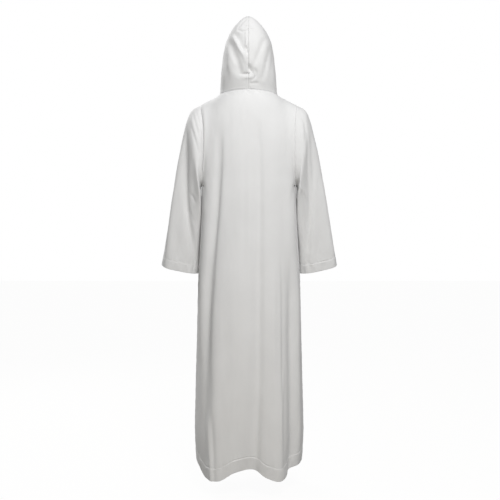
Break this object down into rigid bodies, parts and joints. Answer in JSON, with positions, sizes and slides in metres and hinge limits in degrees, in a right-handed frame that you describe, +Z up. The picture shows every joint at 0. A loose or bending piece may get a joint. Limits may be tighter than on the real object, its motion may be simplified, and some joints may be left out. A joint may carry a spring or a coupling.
{
  "type": "hooded thobe robe",
  "caption": "Long plain off-white robe with a pointed hood, straight three-quarter sleeves and a gently flared ankle-length body, in its hollow worn form.",
  "frame": {"origin": "between the two shoulder seams, at the height where they meet the neck: the wearer's shoulders carry the robe there", "axes": "+Z up, the front faces -Y, the wearer's left side is at +X"},
  "size_m": [0.6776, 0.3604, 1.7394],
  "materials": {
    "cloth": "plain woven off-white cotton blend, matt"
  },
  "bodies": {
    "root": {"back_panel": "cloth", "front_panel": "cloth", "left_sleeve": "cloth", "right_sleeve": "cloth", "hood_left": "cloth", "hood_right": "cloth"}
  },
  "joints": []
}
